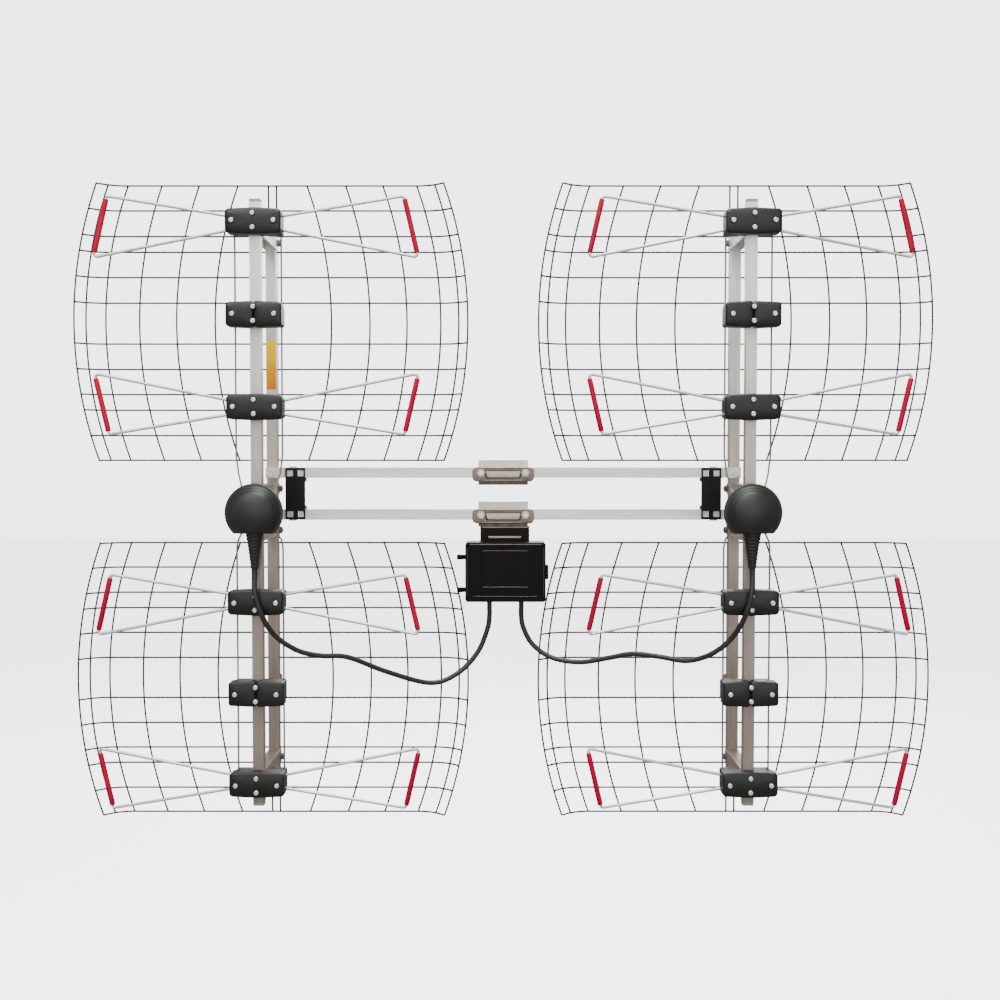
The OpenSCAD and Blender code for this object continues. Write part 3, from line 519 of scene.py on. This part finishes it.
# Each cable from its boot to the box, in millimetres.
ROUTES = {
    "left": [
        (-317, -147, -93.4), (-317, -147.25, -99.5), (-317, -148.3, -105.5), (-316.9, -150.1, -111.5),
        (-316.3, -152, -118), (-315.3, -153.2, -124), (-313.8, -153.7, -131), (-311.4, -153.5, -139.5),
        (-308, -152.5, -149), (-304, -150, -160), (-298, -145.8, -171), (-290, -141, -181.5),
        (-279, -135.5, -191.5), (-261, -127, -202.5), (-237, -117.5, -209), (-204, -105, -213),
        (-154, -85, -236), (-98, -67, -254), (-62, -57, -243), (-35, -48.5, -216),
        (-21.4, -43, -184), (-18.8, -41.2, -166), (-18.8, -41, -156), (-18.8, -41, -147.6),
    ],
    "right": [
        (317, -147, -93.4), (317, -147.25, -99.5), (316.9, -148.3, -105.5), (316.6, -150.1, -111.5),
        (316, -152, -118), (315, -153.2, -124), (313.6, -153.7, -131), (311.5, -153.5, -139.5),
        (308.5, -152.5, -149), (304.5, -150, -160), (298.8, -145.8, -172), (291, -141, -184),
        (279.5, -135, -196.5), (261, -126, -209), (237, -115, -216), (205, -100.5, -213),
        (172, -87, -211.5), (140, -75.5, -219), (103, -64, -226.5), (66, -54.5, -222),
        (40, -47.5, -205), (27.2, -43, -182), (24.6, -41.2, -166), (24.6, -41, -156),
        (24.6, -41, -147.6),
    ],
}


def make_cable(side):
    route = smooth_route([Vector(p) * MM for p in ROUTES[side]], ROUTE_STEPS)
    bm = bmesh.new()
    add_sweep(bm, route, CABLE_DIAMETER / 2, (0, 1, 0), 20)
    piece = make_piece(bm, f"{side}_jumper", "cable_jacket", None)
    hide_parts(f"{side}_cable")
    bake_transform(piece)


for side in SIDES:
    make_cable(side)


# ---- Bowties, sleeves and reflectors ----

# Sizes of one bay, in millimetres from its middle.
SHORT_TIP = Vector((190.0, 34.5))
LONG_TIP = Vector((208.0, 43.5))
SLEEVE_START = 4.0
ROD_ENTRY = Vector((38.0, 9.6))
ROD_INNER_X = 22.0
ROD_BEND = 4.0
# The height of each bay, and 1 where its longer legs are the upper ones, or -1.
BAYS = ((360.0, -1), (125.0, 1), (-125.0, -1), (-360.0, 1))


def leg_end(tip):
    """How far above or below the middle a leg ends inside its block."""
    slope = (tip.y - ROD_ENTRY.y) / (tip.x - ROD_ENTRY.x)
    return ROD_ENTRY.y - slope * (ROD_ENTRY.x - ROD_INNER_X)


def loop_points(long):
    """The rod's route in the panel's own X-Z plane, in millimetres. long is as in BAYS."""
    corners = [
        Vector((ROD_INNER_X, -long * leg_end(SHORT_TIP))),
        Vector((SHORT_TIP.x, -long * SHORT_TIP.y)),
        Vector((LONG_TIP.x, long * LONG_TIP.y)),
        Vector((ROD_INNER_X, long * leg_end(LONG_TIP))),
    ]
    points = [corners[0], corners[0].lerp(corners[1], 0.5)]
    for i in (1, 2):
        points += corner_arc(corners[i - 1], corners[i], corners[i + 1], ROD_BEND, 8)
    return points + [corners[2].lerp(corners[3], 0.5), corners[3]]


def make_bowties(side):
    for number, (bay_z, long) in enumerate(BAYS, 1):
        bm = bmesh.new()
        for hand in (-1, 1):
            points = [in_panel(side, hand * p.x, front_y, bay_z + p.y) for p in loop_points(long)]
            add_sweep(bm, points, ROD_RADIUS, (0, 1, 0), 16)
        bowtie = f"{side}_bowtie_{number}"
        make_piece(bm, f"{bowtie}_rod", "element_rod", f"{side}_panel", [bowtie])


# Places along a sleeve and its radius there, in millimetres.
SLEEVE = ((0, 2.9), (0.5, 3.25), (1.5, 3.45), (12, 3.5), (35, 3.42), (57, 3.5),
          (68, 3.45), (69, 3.25), (69.5, 2.9))


def make_sleeves(side):
    bm = bmesh.new()
    for bay_z, long in BAYS:
        for hand in (-1, 1):
            low = Vector((SHORT_TIP.x, -long * SHORT_TIP.y))
            high = Vector((LONG_TIP.x, long * LONG_TIP.y))
            along = (high - low).normalized()
            points = [low + along * (SLEEVE_START + place) for place, _ in SLEEVE]
            points = [in_panel(side, hand * p.x, front_y, bay_z + p.y) for p in points]
            add_sweep(bm, points, [radius * MM for _, radius in SLEEVE], (0, 1, 0), 20)
    make_piece(bm, f"{side}_sleeves", "red_vinyl", f"{side}_panel", [f"{side}_tip_sleeves"])


# A reflector's rows and columns, in millimetres from its middle. Its sides are arcs of
# SIDE_RADIUS, and beyond FLAT_HALF its lips bend forward with LIP_RADIUS.
ROW_STEPS = (28, 63, 97.5, 119, 154, 188)
ROWS = [-z for z in reversed(ROW_STEPS)] + list(ROW_STEPS)
FLAT_HALF = 231.0
COLUMN_STEPS = (80.2, 133.3, 184.4, FLAT_HALF)
SIDE_RADIUS = 560.0
LIP_RADIUS = 46.0
LIP_ANGLES = (31, 50.8)
LIP_END = 52.0
REFLECTOR_Z = 245.0
COLUMN_HALF = 189.25
CENTRE_COLUMN = 5.5  # the two middle columns run straight down, this far from the middle
WELD_RADIUS = 1.15
WELD_FORWARD = 1.32
ROW_GAP = 1.35  # from the rear booms to the middle of the rows
COLUMN_GAP = 2.65  # the columns cross behind the rows
row_y = rear_high.y / MM + ROW_GAP
column_y = row_y + COLUMN_GAP


def inset(z):
    """How far the sides have come in at a height."""
    return SIDE_RADIUS - math.sqrt(SIDE_RADIUS ** 2 - z * z)


def row_points(z):
    half = FLAT_HALF - inset(z)
    right = []
    for i in range(11):
        a = math.radians(LIP_END * i / 10)
        right.append((half + LIP_RADIUS * math.sin(a), row_y - LIP_RADIUS + LIP_RADIUS * math.cos(a)))
    flat = [(half * k / 4, row_y) for k in range(-3, 4)]
    left = [(-x, y) for x, y in reversed(right)]
    return [(x, y, z) for x, y in left + flat + right]


def column_x(x, z):
    """Where the column that is x from the middle runs at a height."""
    return x if abs(x) == CENTRE_COLUMN else x - math.copysign(inset(z), x)


def column_points(x, y):
    steps = 28
    zs = [COLUMN_HALF * (2 * k / steps - 1) for k in range(steps + 1)]
    return [(column_x(x, z), y, z) for z in zs]


def make_reflector(side, name, middle_z):
    bm = bmesh.new()
    outer_lip = LIP_RADIUS + COLUMN_GAP
    columns = [(x, column_y) for x in (CENTRE_COLUMN, *COLUMN_STEPS)]
    for angle in LIP_ANGLES:
        a = math.radians(angle)
        y = row_y - LIP_RADIUS + outer_lip * math.cos(a)
        columns.append((FLAT_HALF + outer_lip * math.sin(a), y))
    columns = [(hand * x, y) for x, y in columns for hand in (-1, 1)]

    def placed(points):
        return [in_panel(side, x, y * MM, middle_z + z) for x, y, z in points]

    for z in ROWS:
        add_sweep(bm, placed(row_points(z)), WIRE_RADIUS, (0, 0, 1), 10)
    for x, y in columns:
        add_sweep(bm, placed(column_points(x, y)), WIRE_RADIUS, (0, 1, 0), 10)
    for x, y in columns:
        for z in ROWS:
            weld = in_panel(side, column_x(x, z), (y - WELD_FORWARD) * MM, middle_z + z)
            bmesh.ops.create_icosphere(bm, subdivisions=1, radius=WELD_RADIUS * MM,
                                       matrix=Matrix.Translation(weld))
    make_piece(bm, f"{side}_{name}_grid", "grid_wire", f"{side}_panel", [f"{side}_{name}"])


for side in SIDES:
    make_bowties(side)
    make_sleeves(side)
    make_reflector(side, "upper_reflector", REFLECTOR_Z)
    make_reflector(side, "lower_reflector", -REFLECTOR_Z)


# ---- Insulator covers ----

cover_low, cover_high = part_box("right_block_covers")
COVER_HALF = 35.5
COVER_CORNERS = ((-COVER_HALF, -15.25), (0, -17), (COVER_HALF, -15.25),
                 (COVER_HALF, 15.25), (0, 17), (-COVER_HALF, 15.25))
COVER_CROWN = 4.0 * MM
MIDDLE_BLOCK_Z = 242.5
# A middle block has two covers, one on each side of its slit.
HALF_CORNERS = ((0.25, -17), (COVER_HALF, -15.25), (COVER_HALF, 15.25), (0.25, 17))
SCREW_X = 26.5
SCREW_Z = 9.0


def cover_outline(side, z, corners, radius):
    points = rounded_outline(corners, radius)
    return [Vector((mirrored(side, p.x * MM), panel_z + (z + p.y) * MM)) for p in points]


def add_boss(bm, side, x, z, radius=4.3):
    """The flat round seat under a screw head."""
    forward = Matrix.Rotation(math.radians(90), 4, "X")
    matrix = Matrix.Translation(in_panel(side, x, cover_low.y, z)) @ forward
    profile = [(0, -4), (radius, -4), (radius, -0.25), (radius - 0.25, 0), (0, 0)]
    add_lathe(bm, [(r * MM, h * MM) for r, h in profile], matrix, 28)


def make_covers(side):
    bm = bmesh.new()
    for z, _ in BAYS:
        outline = cover_outline(side, z, COVER_CORNERS, 5)
        centre = (mirrored(side, 0), panel_z + z * MM)
        add_pillow(bm, outline, centre, cover_high.y, cover_low.y, COVER_CROWN, 0.06)
    for z in (-MIDDLE_BLOCK_Z, MIDDLE_BLOCK_Z):
        for hand in (-1, 1):
            outline = cover_outline(side, z, [(hand * x, y) for x, y in HALF_CORNERS], 3.5)
            centre = (mirrored(side, hand * 18 * MM), panel_z + z * MM)
            add_pillow(bm, outline, centre, cover_high.y, cover_low.y, COVER_CROWN, 0.07)
    for z in [z for z, _ in BAYS] + [-MIDDLE_BLOCK_Z, MIDDLE_BLOCK_Z]:
        for hand in (-1, 1):
            add_boss(bm, side, hand * SCREW_X, z)
            add_boss(bm, side, 0, z + hand * SCREW_Z, 3.9)
    make_piece(bm, f"{side}_covers", "block_plastic", f"{side}_panel", [f"{side}_block_covers"])


# ---- Balun cover and boot ----

DOME_SPHERE = 48.3 * MM
DOME_RINGS = (33.6, 32.8, 32.0, 31.6, 30.8, 30.4, 28.2, 27.8, 27.0, 26.6,
              24, 21, 18, 14.5, 11, 7.5, 4, 1.5)
GROOVES = (31.6, 30.8, 27.8, 27.0)
GROOVE_DEPTH = 0.5 * MM
BOOT_RIBS = 9
BOOT_TOP = 10.0
BOOT_TIP = 4.7


def make_balun_cover(side):
    low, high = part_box(f"{side}_balun_cover")
    radius = (high.x - low.x) / 2
    centre = Vector(((low.x + high.x) / 2, high.y, high.z - radius))
    flat = low.z - centre.z
    matrix = Matrix.Translation(centre) @ Matrix.Rotation(math.radians(90), 4, "X")
    depth = high.y - low.y
    profile = [(0, 0), (36.4, 0), (36.85, 0.2), (37, 0.7), (37, 4.2), (36.7, 4.8), (36.1, 5.0),
               (34.9, 5.0), (34.5, 5.1), (34.15, 5.5)]
    profile = [(r * MM, h * MM) for r, h in profile]
    for r in DOME_RINGS:
        dip = GROOVE_DEPTH if r in GROOVES else 0.0
        h = depth - DOME_SPHERE + math.sqrt(DOME_SPHERE ** 2 - (r * MM) ** 2) - dip
        profile.append((r * MM, h))
    profile.append((0, depth))

    def cut(point):
        return Vector((point.x, max(point.y, flat), point.z))

    bm = bmesh.new()
    add_lathe(bm, profile, matrix, 96, cut)
    make_piece(bm, f"{side}_dome", "dark_plastic", f"{side}_panel", [f"{side}_balun_cover"])


def make_boot(side):
    low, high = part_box(f"{side}_cable_boot")
    length = (high.z - low.z) / MM
    centre = Vector(((low.x + high.x) / 2, (low.y + high.y) / 2, high.z))
    matrix = Matrix.Translation(centre) @ Matrix.Rotation(math.pi, 4, "X")
    profile = [(0, 0), (10.2, 0), (10.75, 0.5), (10.75, 3.2), (10.3, 3.8)]
    start, end = 5.0, length - 1.5
    step = (end - start) / BOOT_RIBS
    for k in range(BOOT_RIBS):
        h = start + step * k
        r = BOOT_TOP - (BOOT_TOP - BOOT_TIP) * (k / BOOT_RIBS) ** 0.85
        profile += [(r - 0.35, h), (r, h + 0.18 * step)]
        profile += [(r, h + 0.6 * step), (r - 0.45, h + 0.8 * step)]
    profile += [(4.6, end), (4.5, length - 0.4), (4.1, length), (0, length)]
    bm = bmesh.new()
    add_lathe(bm, [(r * MM, h * MM) for r, h in profile], matrix, 40)
    make_piece(bm, f"{side}_boot", "black_rubber", f"{side}_panel", [f"{side}_cable_boot"])


for side in SIDES:
    make_covers(side)
    make_balun_cover(side)
    make_boot(side)


# ---- Clamp saddles ----

SADDLE_HALF = 9.75
PLATE_THICKNESS = 2.5 * MM
# The raised pan of a saddle: half its height, and half its width at the bottom and the top.
PAN_HALF, PAN_BOTTOM, PAN_TOP = 4.2, 22, 24
# Places along the rolled edge of a plate and its radius there, in millimetres.
ROLLED_EDGE = ((-34, 0.3), (-33.5, 0.8), (-32, 1.15), (0, 1.15), (32, 1.15), (33.5, 0.8), (34, 0.3))
saddle_low, saddle_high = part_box("clamp_saddles")


def make_saddle(name, z):
    """A pressed plate with rolled long edges and a raised pan between its two nuts."""
    back_y = saddle_high.y
    plate_y = back_y - PLATE_THICKNESS
    bm = bmesh.new()
    right = (saddle_high.x - saddle_low.x) / 2
    bottom, top = z - SADDLE_HALF * MM, z + SADDLE_HALF * MM
    corners = ((-right, bottom), (right, bottom), (right, top), (-right, top))
    add_pillow(bm, rounded_outline(corners, 6 * MM, 8), (0, z), back_y, plate_y, 0.35 * MM, 0.05)
    for hand in (-1, 1):
        points = [Vector((x * MM, plate_y - 0.6 * MM, z + hand * 8.4 * MM)) for x, _ in ROLLED_EDGE]
        add_sweep(bm, points, [radius * MM for _, radius in ROLLED_EDGE], (0, 0, 1), 14)
    make_piece(bm, f"{name}_plate", "clamp_steel", "frame", ["clamp_saddles"])
    # The dark ring round the pan is a painted shadow, and the plate's darker tone is painted shade.
    parts = (("painted_shadow_ring", "clamp_grime", 1.3, 1.2), ("pan", "clamp_pan", 0.0, 3.2))
    for part, finish, grow, front in parts:
        bm = bmesh.new()
        low_x, high_x = (PAN_BOTTOM + grow) * MM, (PAN_TOP + grow) * MM
        bottom, top = z - (PAN_HALF + grow) * MM, z + (PAN_HALF + grow) * MM
        corners = ((-low_x, bottom), (low_x, bottom), (high_x, top), (-high_x, top))
        outline = rounded_outline(corners, 1.6 * MM)
        add_pillow(bm, outline, (0, z), plate_y + 0.5 * MM, plate_y - front * MM, 0.35 * MM, 0.05)
        make_piece(bm, f"{name}_{part}", finish, "frame", ["clamp_saddles"])


make_saddle("upper_saddle", saddle_high.z - SADDLE_HALF * MM)
make_saddle("lower_saddle", saddle_low.z + SADDLE_HALF * MM)


# ---- Hanger bracket and combiner lid ----

LID_WIDTH = 108 * MM
BEAD_Z = -60 * MM
_, base_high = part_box("combiner_base")


def add_bead(bm, start, end, y, girth):
    """A straight bead with tapered ends, between two (x, z) points."""
    a = Vector((start[0], y, start[1]))
    b = Vector((end[0], y, end[1]))
    points = [a.lerp(b, k) for k in (0, 0.03, 0.5, 0.97, 1)]
    side = (0, 0, 1) if abs(b.x - a.x) > abs(b.z - a.z) else (1, 0, 0)
    add_sweep(bm, points, [girth * k for k in (0.3, 1, 1, 1, 0.3)], side, 12)


def make_lid_rims():
    """Raised beads on the lid, along its rim and above and below its flat panel, in a lighter colour
    that is a painted highlight.
    """
    low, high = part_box("combiner_lid")
    right = base_high.x
    left = right - LID_WIDTH
    bottom, top = low.z, high.z
    face = low.y + 0.35 * MM
    bm = bmesh.new()

    def level(start, end, z, girth):
        """A bead between two distances, in millimetres, from the lid's left and right ends."""
        add_bead(bm, (left + start * MM, z), (right - end * MM, z), face, girth * MM)

    def upright(x):
        add_bead(bm, (x, top - 6 * MM), (x, bottom + 6 * MM), face, 0.5 * MM)

    level(5, 5, top - 2.5 * MM, 0.75)
    upright(left + 2.6 * MM)
    upright(right - 2.6 * MM)
    level(22, 22, bottom + 20.4 * MM, 0.6)
    level(22, 22, top - 10.8 * MM, 0.4)
    level(9, 10, bottom + 7.8 * MM, 0.5)
    make_piece(bm, "lid_rims", "box_rim", "lid")


def make_painted_hanger_highlights():
    """Painted highlights: thin bright bars on the hanger's bent edge and on its pressed bead."""
    low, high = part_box("combiner_bracket")
    bm = bmesh.new()
    top = high.z - 0.9 * MM
    for inset_x, z, depth, girth in ((2, top, 0.3, 1.0), (10, BEAD_Z, 0.1, 1.6)):
        ends = ((low.x + inset_x * MM, z), (high.x - inset_x * MM, z))
        add_bead(bm, *ends, base_high.y + depth * MM, girth * MM)
    make_piece(bm, "hanger_painted_highlights", "worn_edge", "frame")


make_lid_rims()
make_painted_hanger_highlights()


# ---- Sticker ----

def make_label():
    bm = bmesh.new()
    half = tube_side / 2 - 0.3 * MM
    low, high = LABEL_SPAN
    left, right = -panel_x - half, -panel_x + half
    corners = [(left, low), (right, low), (right, high), (left, high)]
    add_prism(bm, rounded_outline(corners, 1.5 * MM), rear_low.y, rear_low.y - 0.08 * MM)
    make_piece(bm, "left_sticker", "label", "left_panel")


make_label()


# ---- Finishes of the CAD nodes ----

PANEL_FINISH = {
    "front_boom": "tube_upright", "rear_boom": "tube_upright", "boom_plugs": "grey_plastic",
    "standoffs": "standoff", "swivel_arms": "tube_level", "reflector_clips": "zinc",
    "block_bases": "block_plastic", "phasing_lines": "line_wire", "balun_base": "dark_plastic",
    "balun_board": "board", "cable_plug": "port_metal", "panel_screws": "screws",
}
FRAME_FINISH = {
    "crossbars": "tube_level", "pivot_brackets": "black_steel", "pivot_pins": "zinc",
    "clamp_jaws": "jaw_steel", "clamp_nuts": "nut_steel", "upper_ubolt": "zinc",
    "lower_ubolt": "zinc", "combiner_bracket": "bronze_steel", "combiner_base": "box_plastic",
    "combiner_lid": "box_plastic", "combiner_unit": "port_metal", "combiner_plugs": "port_metal",
    "cable_grommets": "black_rubber",
}
# How far the edges are rounded, in millimetres.
EDGES = {
    "front_boom": 1.5, "rear_boom": 1.5, "standoffs": 0.3, "swivel_arms": 0.6, "block_bases": 0.8,
    "balun_base": 0.6, "crossbars": 0.9, "pivot_brackets": 0.7, "clamp_jaws": 0.6,
    "combiner_bracket": 0.6, "combiner_base": 0.8, "combiner_lid": 0.9, "combiner_unit": 0.8,
    "reflector_clips": 0.3, "cable_grommets": 0.5,
}


def finish_node(node, material, edge):
    """Gives a CAD node its material, and rounds its edges where edge is given."""
    piece = nodes[node]
    piece.data.materials.clear()
    piece.data.materials.append(materials[material])
    if edge:
        weld = piece.modifiers.new("joined", "WELD")
        weld.merge_threshold = 0.002 * MM
        flat = piece.modifiers.new("flat_faces", "DECIMATE")
        flat.decimate_type = "DISSOLVE"
        flat.angle_limit = math.radians(1)
        bevel = piece.modifiers.new("rounded_edges", "BEVEL")
        bevel.width = edge * MM
        bevel.segments = 2
        bevel.limit_method = "ANGLE"
        bevel.angle_limit = math.radians(40)
        bevel.harden_normals = True


for side in SIDES:
    for name, material in PANEL_FINISH.items():
        finish_node(f"{side}_{name}", material, EDGES.get(name))
for name, material in FRAME_FINISH.items():
    finish_node(name, material, EDGES.get(name))


# ---- Stage and light ----

FLOOR_DROP = 0.55  # how far the floor is below the object


def make_floor():
    bm = bmesh.new()
    bmesh.ops.create_grid(bm, x_segments=1, y_segments=1, size=14)
    mesh = bpy.data.meshes.new("floor")
    bm.to_mesh(mesh)
    bm.free()
    floor = bpy.data.objects.new("floor", mesh)
    floor.location = (0, 0, cad_low.z - FLOOR_DROP)
    bpy.context.scene.collection.objects.link(floor)
    s = Surface("floor", 0.9)
    pale = s.ramp(s.noise(0.6, 3), [(0.3, (0.93, 0.93, 0.93)), (0.7, (0.95, 0.95, 0.95))])
    s.colour(pale)
    s.links.new(pale, s.shader.inputs["Emission Color"])
    s.shader.inputs["Emission Strength"].default_value = 3.2
    floor.visible_diffuse = False
    floor.visible_glossy = False
    mesh.materials.append(s.material)


def make_light(name, place, size, power):
    """A round lamp that is aimed at the middle of the object."""
    data = bpy.data.lights.new(name, "AREA")
    data.shape = "DISK"
    data.size = size
    data.energy = power
    light = bpy.data.objects.new(name, data)
    light.location = place
    light.rotation_euler = (-Vector(place)).to_track_quat("-Z", "Y").to_euler()
    bpy.context.scene.collection.objects.link(light)


def make_world():
    """White behind the object, and a soft grey room around it."""
    world = bpy.data.worlds.new("studio")
    world.use_nodes = True
    tree = world.node_tree
    room = tree.nodes["Background"]
    room.inputs["Color"].default_value = (1.0, 0.99, 0.97, 1)
    room.inputs["Strength"].default_value = 0.4
    backdrop = tree.nodes.new("ShaderNodeBackground")
    backdrop.inputs["Color"].default_value = (1, 1, 1, 1)
    backdrop.inputs["Strength"].default_value = 4.0
    seen = tree.nodes.new("ShaderNodeLightPath")
    mix = tree.nodes.new("ShaderNodeMixShader")
    tree.links.new(seen.outputs["Is Camera Ray"], mix.inputs["Fac"])
    tree.links.new(room.outputs["Background"], mix.inputs[1])
    tree.links.new(backdrop.outputs["Background"], mix.inputs[2])
    tree.links.new(mix.outputs["Shader"], tree.nodes["World Output"].inputs["Surface"])
    bpy.context.scene.world = world


make_floor()
make_world()
make_light("front", (0.2, -3.7, 0.95), 4.4, 80)
make_light("key", (-1.6, -2.2, 2.6), 1.2, 45)
make_light("top", (0.0, -0.8, 2.5), 1.5, 110)
make_light("back", (0.4, 3.0, 1.8), 3.2, 130)
